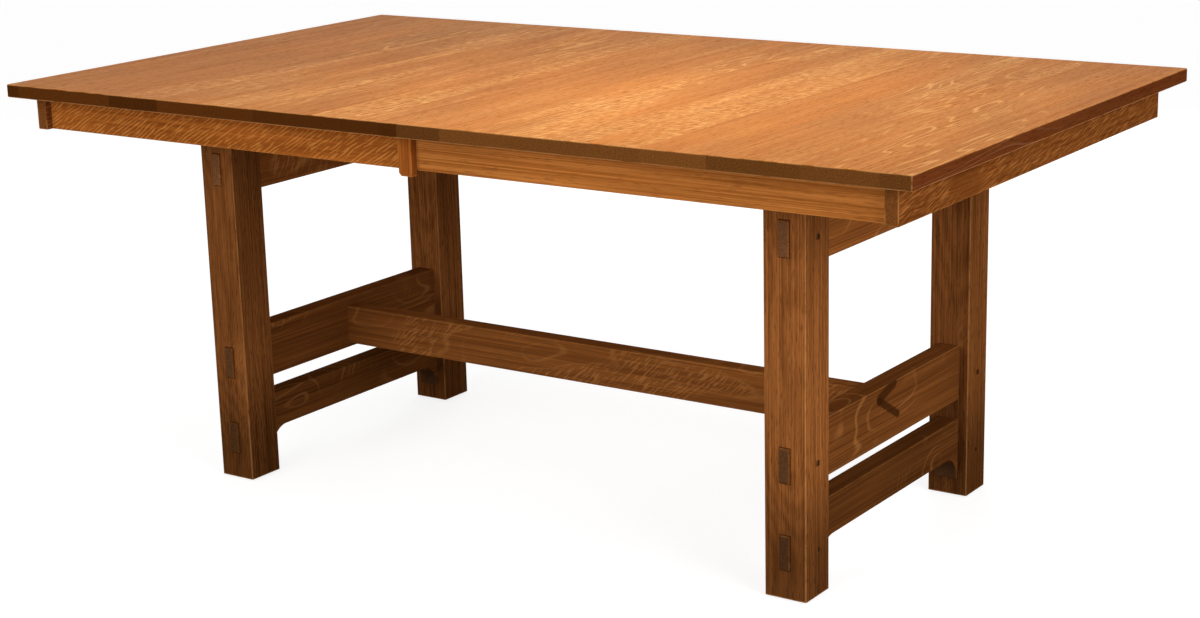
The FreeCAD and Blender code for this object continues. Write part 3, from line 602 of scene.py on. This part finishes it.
    def rings(self, graph: Graph, fibre: Place, heart: Sequence[float]) -> Socket:
        """Growth rings about a leaning heart, which show as arched figure on a flat-sawn face.

        Args:
            graph: The material.
            fibre: Distance along the fibres and two distances across them.
            heart: Where the tree's heart lies across the fibres.

        Returns:
            A share of the light tone.
        """
        squares = []
        lean = graph.times(fibre[0], self.pith_lean)
        for number, (axis, middle) in enumerate(zip(fibre[1:], heart)):
            drift = graph.noise((fibre[0], axis, number), DRIFT_RATES, detail=1.0)
            drift = graph.times(graph.less(drift, MIDDLE), RING_DRIFT)
            offset = graph.plus(graph.less(axis, middle), graph.plus(drift, lean))
            squares.append(graph.times(offset, offset))
        radius = graph.math("SQRT", graph.plus(*squares))
        jitter = self.stretched(graph, fibre, JITTER_RATE, detail=2.0)
        jitter = graph.times(jitter, RING_JITTER)
        turns = graph.plus(graph.math("DIVIDE", radius, self.ring_gap), jitter)
        return graph.step(graph.wave(graph.times(turns, math.tau)), RING_LIMITS)

    def pores(self, graph: Graph, fibre: Place) -> Socket:
        """Short dark pores along the fibres.

        Args:
            graph: The material.
            fibre: Distance along the fibres and two distances across them.

        Returns:
            A share of pore.
        """
        return graph.step(self.stretched(graph, fibre, PORE_RATE, detail=1.0), PORE_LIMITS)

    def flecks(self, graph: Graph, fibre: Place, cover: Input) -> Socket:
        """Wavy ribbons of ray fleck that cross the fibres at an angle.

        Args:
            graph: The material.
            fibre: Distance along the fibres and two distances across them.
            cover: A board's own cover from 0 to 1.

        Returns:
            A share of fleck.
        """
        along, first, second = fibre
        sway = self.stretched(graph, fibre, SWAY_RATE, detail=1.0)
        sway = graph.times(sway, self.fleck_sway)
        across = graph.plus(graph.plus(first, second), sway)
        turn = math.radians(self.fleck_angle)
        cosine, sine = math.cos(turn), math.sin(turn)
        length = graph.plus(graph.times(along, cosine), graph.times(across, sine))
        breadth = graph.less(graph.times(across, cosine), graph.times(along, sine))
        rates = (1 / self.fleck_length, 1 / self.fleck_thick, 0.0)
        ribbons = graph.noise((length, breadth, 0.0), rates, detail=1.5)
        if self.fleck_even:
            wave = graph.wave(graph.times(breadth, math.pi / self.fleck_thick))
            ribbons = graph.weigh(self.fleck_even, ribbons, wave)
        patches = self.stretched(graph, fibre, self.fleck_patch, detail=1.0)
        bias = graph.times(graph.less(cover, MIDDLE), BOARD_COVER_REACH)
        patches = graph.plus(patches, bias)
        lower = FLECK_COVER_REACH * self.fleck_cover
        shown = graph.step(patches, tuple(limit - lower for limit in PATCH_LIMITS))
        return graph.times(graph.step(ribbons, FLECK_LIMITS), shown)

    def loops(self, graph: Graph, fibre: Place) -> Socket:
        """Thin pale loops, where a cut runs through wavy layers.

        Args:
            graph: The material.
            fibre: Distance along the fibres and two distances across them.

        Returns:
            A share of pale line.
        """
        layers = self.stretched(graph, fibre, self.loop_scale, detail=1.0)
        turn = graph.math("FRACT", graph.times(layers, self.loop_count))
        thin = graph.step(graph.size(graph.less(turn, MIDDLE)), LOOP_LIMITS)
        patches = self.stretched(graph, fibre, self.loop_patch, detail=1.0)
        return graph.times(thin, graph.step(patches, LOOP_PATCH_LIMITS))

    def end_share(self, graph: Graph, grain: Grain) -> Socket:
        """Share of end grain, on faces that cut the fibres."""
        return graph.step(graph.size(graph.place("Normal")[grain.value]), END_LIMITS)

    def end_colour(self, graph: Graph, place: Place, boards: Place | None) -> Socket:
        """Speckled tone of the cut fibres.

        Args:
            graph: The material.
            place: The place on the piece.
            boards: Each board's random numbers, or None for a piece of one board.

        Returns:
            The colour.
        """
        speckle = graph.noise(place, END_RATES, detail=3.0, roughness=0.6)
        speckle = graph.step(speckle, SPECKLE_LIMITS)
        light = self.shade(self.end)
        colour = graph.mix(speckle, tuple(channel * END_DARK for channel in light), light)
        if boards:
            colour = graph.vary(colour, boards[1], self.board_tone * BOARD_END_REACH)
        return colour

    def wear_share(self, graph: Graph, place: Place, low: Triple, high: Triple) -> Socket:
        """Share of rubbed-through finish along a box's edges.

        Args:
            graph: The material.
            place: The place on the piece.
            low: Lowest corner of the box.
            high: Highest corner of the box.

        Returns:
            A share from 0 to 1.
        """
        depths = []
        for axis, bottom, top in zip(place, low, high):
            offset = graph.size(graph.less(axis, (bottom + top) / 2))
            depths.append(graph.less((top - bottom) / 2, offset))
        lesser = graph.math("MINIMUM", depths[0], depths[1])
        greater = graph.math("MAXIMUM", depths[0], depths[1])
        edge = graph.math("MAXIMUM", lesser, graph.math("MINIMUM", greater, depths[2]))
        near = graph.step(edge, WEAR_WIDTH)
        rubbed = graph.noise(place, WEAR_RATES, detail=4.0, roughness=0.6)
        return graph.times(graph.times(near, graph.step(rubbed, WEAR_LIMITS)), self.wear)


@dataclass(frozen=True)
class MetalFinish:
    """A drawn or plated metal with fine brush lines and dull patches."""

    colour: Rgb
    dull: Rgb
    roughness: float
    brush_rates: Triple = (250.0, 250.0, 2600.0)
    brush_spread: float = 0.3
    brush_depth: float = 0.0001
    brush_share: float = 0.2
    patch_rates: Triple = (90.0, 90.0, 90.0)
    patch_limits: Pair = (0.35, 0.7)

    def material(self, name: str) -> bpy.types.Material:
        """Make the finish.

        Args:
            name: The material's name.

        Returns:
            The material.
        """
        graph = Graph(name)
        place = graph.place("Object")
        lines = graph.noise(place, self.brush_rates, detail=2.0)
        patches = graph.noise(place, self.patch_rates, detail=3.0)
        patches = graph.step(patches, self.patch_limits)
        graph.paint("Base Color", graph.mix(patches, self.colour, self.dull))
        graph.paint("Metallic", 1.0)
        spread = graph.times(graph.less(lines, MIDDLE), self.brush_spread)
        graph.paint("Roughness", graph.plus(spread, self.roughness))
        graph.bump(lines, self.brush_depth, self.brush_share)
        return graph.material


@dataclass(frozen=True)
class PlasticFinish:
    """A moulded plastic with a fine matt grain."""

    colour: Rgb
    shadow: Rgb
    roughness: float
    cloud_rates: Triple = (60.0, 60.0, 60.0)
    cloud_limits: Pair = (0.3, 0.7)
    grit_rates: Triple = (1500.0, 1500.0, 1500.0)
    grit_spread: float = 0.2
    grit_depth: float = 0.0001
    grit_share: float = 0.3

    def material(self, name: str) -> bpy.types.Material:
        """Make the finish.

        Args:
            name: The material's name.

        Returns:
            The material.
        """
        graph = Graph(name)
        place = graph.place("Object")
        cloud = graph.noise(place, self.cloud_rates, detail=2.0)
        cloud = graph.step(cloud, self.cloud_limits)
        grit = graph.noise(place, self.grit_rates, detail=2.0)
        graph.paint("Base Color", graph.mix(cloud, self.shadow, self.colour))
        spread = graph.times(graph.less(grit, MIDDLE), self.grit_spread)
        graph.paint("Roughness", graph.plus(spread, self.roughness))
        graph.bump(grit, self.grit_depth, self.grit_share)
        return graph.material


TOP_OAK = WoodFinish(
    dark=linear(182, 106, 42), light=linear(198, 124, 50), fleck=linear(240, 180, 104),
    end=linear(132, 77, 32), worn=linear(214, 152, 96), fleck_share=0.6, fleck_cover=0.32,
    fleck_angle=24.0, fleck_thick=0.0035, fleck_length=0.022, fleck_sway=0.03,
    fleck_patch=(1.6, 12.0), loop_share=0.5, loop_scale=(2.4, 26.0), loop_count=10.0,
    loop_patch=(1.2, 6.0), board_width=0.125, rim_tone=(0.24, 0.18, 0.27), wear=0.45,
    roughness=0.46, gloss=0.014)
APRON_OAK = WoodFinish(
    dark=linear(127, 66, 21), light=linear(161, 90, 34), fleck=linear(198, 128, 60),
    end=linear(122, 72, 33), worn=linear(190, 124, 66), fleck_share=0.6, fleck_cover=0.9,
    fleck_angle=31.0, fleck_thick=0.0029, fleck_length=0.03, fleck_sway=0.012, fleck_even=0.18)
PLAIN_OAK = replace(
    APRON_OAK, dark=linear(144, 82, 31), light=linear(190, 119, 57), fleck_cover=0.1,
    line_gap=0.0016, line_share=0.85)
# End aprons: the apron oak darkened as painted shade, since less light reaches the ends; the flecks
# are their own figure.
END_APRON_SHADED_OAK = replace(
    APRON_OAK, dark=linear(94, 48, 16), light=linear(120, 67, 26), fleck=linear(180, 114, 58),
    fleck_angle=12.0, fleck_thick=0.0022, fleck_length=0.04, fleck_cover=0.75, fleck_share=0.5,
    fleck_even=0.0)
SEAM_OAK = replace(APRON_OAK, fleck_cover=0.2)
# The leg oak carries painted shade that darkens it towards the feet.
LEG_OAK = WoodFinish(
    dark=linear(90, 49, 20), light=linear(150, 91, 45), fleck=linear(168, 106, 54),
    end=linear(84, 48, 22), worn=linear(176, 122, 72), line_gap=0.0018, line_share=0.8,
    ring_share=0.2, pore_share=0.75, fleck_share=0.3, fleck_cover=0.35, foot_shade=0.5)
RAIL_OAK = WoodFinish(
    dark=linear(98, 54, 22), light=linear(138, 82, 37), fleck=linear(184, 122, 66),
    end=linear(100, 66, 40), worn=linear(168, 112, 60), line_gap=0.0025, fleck_share=0.4,
    fleck_cover=0.3, fleck_angle=66.0, fleck_thick=0.007, fleck_length=0.045, fleck_sway=0.03,
    loop_share=0.4, wear=0.3)
STRETCHER_OAK = replace(
    RAIL_OAK, fleck_angle=40.0, fleck_thick=0.004, fleck_length=0.03, fleck_sway=0.015,
    fleck_cover=0.45, loop_share=0.2)
MAPLE = WoodFinish(
    dark=linear(178, 138, 94), light=linear(208, 172, 126), fleck=linear(220, 188, 146),
    end=linear(156, 118, 80), worn=linear(220, 190, 150), fleck_share=0.2, fleck_cover=0.3,
    wear=0.3, roughness=0.56)
BEECH = replace(
    MAPLE, dark=linear(190, 144, 98), light=linear(216, 176, 128), fleck_share=0.35)
ZINC = MetalFinish(colour=linear(190, 190, 194), dull=linear(140, 140, 146), roughness=0.35)
BRONZED = MetalFinish(colour=linear(150, 132, 104), dull=linear(104, 90, 70), roughness=0.4)
BRASS = MetalFinish(colour=linear(208, 172, 96), dull=linear(160, 126, 66), roughness=0.3)
NYLON = PlasticFinish(
    colour=linear(232, 228, 214), shadow=linear(214, 208, 190), roughness=0.5)
DARK_NYLON = PlasticFinish(colour=linear(66, 50, 38), shadow=linear(46, 34, 26), roughness=0.6)


def dress(node: str, material: bpy.types.Material) -> None:
    """Give a solid its finish.

    Args:
        node: The solid's name.
        material: The finish.
    """
    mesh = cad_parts[node].data
    mesh.materials.clear()
    mesh.materials.append(material)
    LOG.info("%s: %s", node, material.name)


def dress_wood(node: str, finish: WoodFinish, grain: Grain, low: Triple | None = None,
               high: Triple | None = None, seats: Sequence[Seat] = (),
               shadow_marks: Sequence[ShadowMark] = ()) -> None:
    """Give a wooden solid a finish of its own.

    Args:
        node: The solid's name.
        finish: The wood.
        grain: The way that the fibres run.
        low: Lowest corner of the box whose edges are worn, or None for the solid's own.
        high: Highest corner of that box, or None for the solid's own.
        seats: Tenon ends with painted shade around them.
        shadow_marks: Painted shadow strokes.
    """
    own_low, own_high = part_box(node)
    low = low or tuple(own_low)
    high = high or tuple(own_high)
    dress(node, finish.material(f"{node}_wood", grain, low, high, seats, shadow_marks))


@dataclass
class Top:
    """The two halves of the top, with the aprons and blocks under them."""

    length: float = 1.829
    width: float = 1.067
    height: float = 0.762
    thick: float = 0.024
    # End grain and pore colours for each half of the top; the left half's colour is darker, as
    # painted shade.
    end_grain_with_left_shade: dict[Side, Rgb] = field(default_factory=lambda: {
        Side.LEFT: linear(89, 47, 15), Side.RIGHT: linear(113, 68, 29)})
    apron_oak: dict[Side, WoodFinish] = field(default_factory=lambda: {
        Side.LEFT: APRON_OAK, Side.RIGHT: PLAIN_OAK})

    def dress(self) -> None:
        """Finish the panels, aprons and blocks."""
        low = (-self.length / 2, -self.width / 2, self.height - self.thick)
        high = (self.length / 2, self.width / 2, self.height)
        for side in Side:
            name = side.value
            # The left panel's darker end grain and pores are painted shade.
            panel_oak = replace(TOP_OAK, end=self.end_grain_with_left_shade[side])
            dress_wood(f"{name}_top_panel", panel_oak, Grain.ALONG_Y, low, high)
            # The end aprons carry painted shade in their colour.
            dress_wood(f"{name}_end_apron", END_APRON_SHADED_OAK, Grain.ALONG_Y)
            for face in Face:
                dress_wood(f"{name}_{face.value}_apron", self.apron_oak[side], Grain.ALONG_X)
            dress_wood(f"{name}_corner_blocks", MAPLE, Grain.ALONG_Z)
            dress_wood(f"{name}_glue_blocks", MAPLE, Grain.ALONG_X)
        dress_wood("left_seam_blocks", SEAM_OAK, Grain.ALONG_Z)
        dress_wood("seam_dowels", BEECH, Grain.ALONG_X)


@dataclass
class Trestles:
    """The two trestles, the stretcher between them and their fasteners."""

    leg_x: float = 0.597
    rail_thick: float = 0.040
    worn_reach: float = 1.0
    tenon_width: float = 0.018
    tenon_height: float = 0.058
    tenon_places: tuple[float, ...] = (0.597, 0.228, 0.081)
    # Painted light and shade: one leg oak made lighter or darker for each leg, by how the lamps fall
    # on it.
    leg_painted_light: dict[tuple[Face, Side], float] = field(default_factory=lambda: {
        (Face.FRONT, Side.LEFT): 0.88, (Face.FRONT, Side.RIGHT): 1.2,
        (Face.BACK, Side.LEFT): 1.08, (Face.BACK, Side.RIGHT): 0.88})
    # Painted light and shade: the rail oak is lighter for the top rails and darker for the lower
    # rails, by how the light falls with height.
    rail_painted_light: dict[Level, float] = field(default_factory=lambda: {
        Level.TOP: 1.5, Level.MIDDLE: 0.88, Level.LOWER: 0.62})
    peg_tone: float = 0.6
    # Painted shadow: two dark strokes that meet in a point on the right middle rail's outer face.
    shadow_marks: tuple[ShadowMark, ...] = (
        ShadowMark(start=(-0.050, 0.265), end=(0.004, 0.281), half_width=0.013),
        ShadowMark(start=(-0.050, 0.262), end=(0.018, 0.222), half_width=0.009))

    def dress(self) -> None:
        """Finish the legs, rails, stretcher, pegs and fasteners."""
        for (face, side), tone in self.leg_painted_light.items():
            x = self.leg_x if side is Side.RIGHT else -self.leg_x
            seats = [Seat(x, z, self.tenon_width, self.tenon_height) for z in self.tenon_places]
            # Painted light and shade: the leg's tone.
            leg_oak = replace(LEG_OAK, tone=tone)
            dress_wood(f"leg_{face.value}_{side.value}", leg_oak, Grain.ALONG_Z, seats=seats)
        for side in Side:
            for level in Level:
                self.dress_rail(side, level)
        dress_wood("stretcher", STRETCHER_OAK, Grain.ALONG_X)
        # The pegs share the legs' painted shade towards the feet.
        dress_wood("tenon_pegs", replace(LEG_OAK, tone=self.peg_tone), Grain.ALONG_X)
        # The bolt plugs take the middle rail's painted shade tone.
        plug_oak = replace(RAIL_OAK, tone=self.rail_painted_light[Level.MIDDLE])
        # The bolt plugs carry the same painted shadow strokes as the rail around them.
        dress_wood("stretcher_bolt_plugs", plug_oak, Grain.ALONG_Y, shadow_marks=self.shadow_marks)
        dress("stretcher_bolts", ZINC.material("bolt_zinc"))
        dress("stretcher_barrel_nuts", ZINC.material("nut_zinc"))
        dress("floor_glides", DARK_NYLON.material("glide_nylon"))

    def dress_rail(self, side: Side, level: Level) -> None:
        """Finish one rail, worn along its long edges only.

        Args:
            side: The trestle.
            level: The rail's place.
        """
        node = f"{side.value}_{level.value}_rail"
        low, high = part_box(node)
        middle = (low.x + high.x) / 2
        worn_low = (middle - self.rail_thick / 2, -self.worn_reach, low.z)
        worn_high = (middle + self.rail_thick / 2, self.worn_reach, high.z)
        # Painted light and shade: the rail's tone by its level.
        rail_oak = replace(RAIL_OAK, tone=self.rail_painted_light[level])
        # Only the right middle rail and its plugs carry the painted shadow.
        marked = side is Side.RIGHT and level is Level.MIDDLE
        shadow_marks = self.shadow_marks if marked else ()
        dress_wood(node, rail_oak, Grain.ALONG_Y, worn_low, worn_high, shadow_marks=shadow_marks)


@dataclass
class Slides:
    """The cleats, geared slides and latches under the top."""

    def dress(self) -> None:
        """Finish the slides, gears, latches and fasteners."""
        for side in Side:
            name = side.value
            dress_wood(f"{name}_cleat", MAPLE, Grain.ALONG_Y)
            dress(f"{name}_racks", NYLON.material(f"{name}_rack_nylon"))
            dress(f"{name}_bar_screws", ZINC.material(f"{name}_bar_screw_zinc"))
            for face in Face:
                dress_wood(f"{name}_{face.value}_slide_bar", MAPLE, Grain.ALONG_X)
        for face in Face:
            name = face.value
            dress_wood(f"{name}_slide_runner", MAPLE, Grain.ALONG_X)
            dress(f"{name}_equalizer_gear", NYLON.material(f"{name}_gear_nylon"))
            dress(f"{name}_latch_lever", BRONZED.material(f"{name}_lever_bronze"))
        dress("gear_pins", ZINC.material("gear_pin_zinc"))
        dress("cleat_screws", ZINC.material("cleat_screw_zinc"))
        dress("slide_screws", ZINC.material("slide_screw_zinc"))
        dress("latch_plates", BRONZED.material("latch_plate_bronze"))
        dress("latch_keepers", BRONZED.material("latch_keeper_bronze"))


@dataclass
class StoredLeaf:
    """The folded leaf, its hinges and the bars that carry it."""

    def dress(self) -> None:
        """Finish the leaf and its carriers."""
        for panel in ("lower", "upper"):
            dress_wood(f"leaf_{panel}_panel", TOP_OAK, Grain.ALONG_Y)
        for side in Side:
            dress_wood(f"{side.value}_leaf_carrier", MAPLE, Grain.ALONG_Y)
        dress_wood("leaf_stops", MAPLE, Grain.ALONG_X)
        dress_wood("leaf_dowels", BEECH, Grain.ALONG_X)
        dress("leaf_hinge_plates", BRASS.material("hinge_brass"))
        dress("leaf_hinge_pins", BRASS.material("hinge_pin_brass"))


@dataclass(frozen=True)
class Lamp:
    """A soft square lamp: its name, its place, its side and its power in watts."""

    name: str
    place: Triple
    size: float
    power: float


@dataclass
class Studio:
    """A pale floor, soft lamps and the camera at the photographed angle."""

    floor_size: float = 60.0
    floor_grey: float = 0.36
    floor_roughness: float = 0.9
    floor_glow: float = 0.8
    room_light: float = 0.34
    lamps: tuple[Lamp, ...] = (
        Lamp("key", place=(-0.6, -3.9, 1.6), size=2.6, power=90.0),
        Lamp("fill", place=(3.8, -1.2, 1.6), size=2.2, power=100.0),
        Lamp("overhead", place=(0.28, -0.2, 1.6), size=0.7, power=7.4),
        Lamp("back", place=(-1.6, 3.8, 0.7), size=1.4, power=60.0))
    lamp_aim: Triple = (0.0, 0.0, 0.5)
    camera_place: Triple = (2.27699, -3.26726, 1.37908)
    camera_right: Triple = (0.82607, 0.56302, -0.02479)
    camera_up: Triple = (-0.12354, 0.22382, 0.96677)
    camera_back: Triple = (0.54986, -0.79556, 0.25445)
    focal_share: float = 1.86910
    sensor: float = 36.0

    def build(self) -> None:
        """Set up the floor, the light and the camera."""
        scene = bpy.context.scene
        scene.view_settings.view_transform = "Standard"
        self.floor(scene)
        self.world(scene)
        for lamp in self.lamps:
            self.hang(scene, lamp)
        self.camera(scene)

    def seen(self, tree: bpy.types.NodeTree) -> Socket:
        """Tell the rays that show a surface from those that only carry its light.

        Args:
            tree: The node tree of a material or of the world.

        Returns:
            1 for a camera, glossy or transmission ray, and 0 for others.
        """
        paths = tree.nodes.new("ShaderNodeLightPath")
        total = paths.outputs["Is Camera Ray"]
        for ray in ("Is Glossy Ray", "Is Transmission Ray"):
            node = tree.nodes.new("ShaderNodeMath")
            node.use_clamp = True
            tree.links.new(total, node.inputs[0])
            tree.links.new(paths.outputs[ray], node.inputs[1])
            total = node.outputs[0]
        return total

    def floor(self, scene: bpy.types.Scene) -> None:
        """Lay a floor that is white to the camera and takes the table's shadow.

        Args:
            scene: The scene.
        """
        mesh = bpy.data.meshes.new("studio_floor")
        half = self.floor_size / 2
        corners = [(-half, -half, 0), (half, -half, 0), (half, half, 0), (-half, half, 0)]
        mesh.from_pydata(corners, [], [(0, 1, 2, 3)])
        item = bpy.data.objects.new("studio_floor", mesh)
        scene.collection.objects.link(item)
        graph = Graph("studio_floor")
        graph.paint("Base Color", (self.floor_grey,) * 3)
        graph.paint("Roughness", self.floor_roughness)
        graph.paint("Emission Color", (1.0, 1.0, 1.0))
        graph.paint("Emission Strength", graph.times(self.seen(graph.tree), self.floor_glow))
        mesh.materials.append(graph.material)

    def world(self, scene: bpy.types.Scene) -> None:
        """Light the room evenly, with white behind the table.

        Args:
            scene: The scene.
        """
        world = bpy.data.worlds.new("studio")
        world.use_nodes = True
        scene.world = world
        tree = world.node_tree
        strength = tree.nodes.new("ShaderNodeMapRange")
        tree.links.new(self.seen(tree), strength.inputs["Value"])
        strength.inputs["To Min"].default_value = self.room_light
        strength.inputs["To Max"].default_value = 1.0
        back = tree.nodes["Background"]
        back.inputs["Color"].default_value = (1.0, 1.0, 1.0, 1.0)
        tree.links.new(strength.outputs["Result"], back.inputs["Strength"])

    def hang(self, scene: bpy.types.Scene, lamp: Lamp) -> None:
        """Hang a lamp that faces the table.

        Args:
            scene: The scene.
            lamp: The lamp.
        """
        light = bpy.data.lights.new(lamp.name, "AREA")
        light.size = lamp.size
        light.energy = lamp.power
        item = bpy.data.objects.new(lamp.name, light)
        item.location = lamp.place
        aim = Vector(self.lamp_aim) - Vector(lamp.place)
        item.rotation_euler = aim.to_track_quat("-Z", "Y").to_euler()
        item.visible_glossy = False
        scene.collection.objects.link(item)

    def camera(self, scene: bpy.types.Scene) -> None:
        """Place the camera.

        Args:
            scene: The scene.
        """
        lens = bpy.data.cameras.new("camera")
        lens.sensor_width = self.sensor
        lens.lens = self.focal_share * self.sensor
        item = bpy.data.objects.new("camera", lens)
        turn = Matrix((self.camera_right, self.camera_up, self.camera_back)).transposed()
        item.matrix_world = Matrix.Translation(self.camera_place) @ turn.to_4x4()
        scene.collection.objects.link(item)
        scene.camera = item


def main() -> None:
    """Dress the table and set up the studio."""
    logging.basicConfig(level=logging.INFO, format="%(message)s")
    for assembly in (Top(), Trestles(), Slides(), StoredLeaf()):
        assembly.dress()
    Studio().build()


if __name__ == "__main__":
    main()
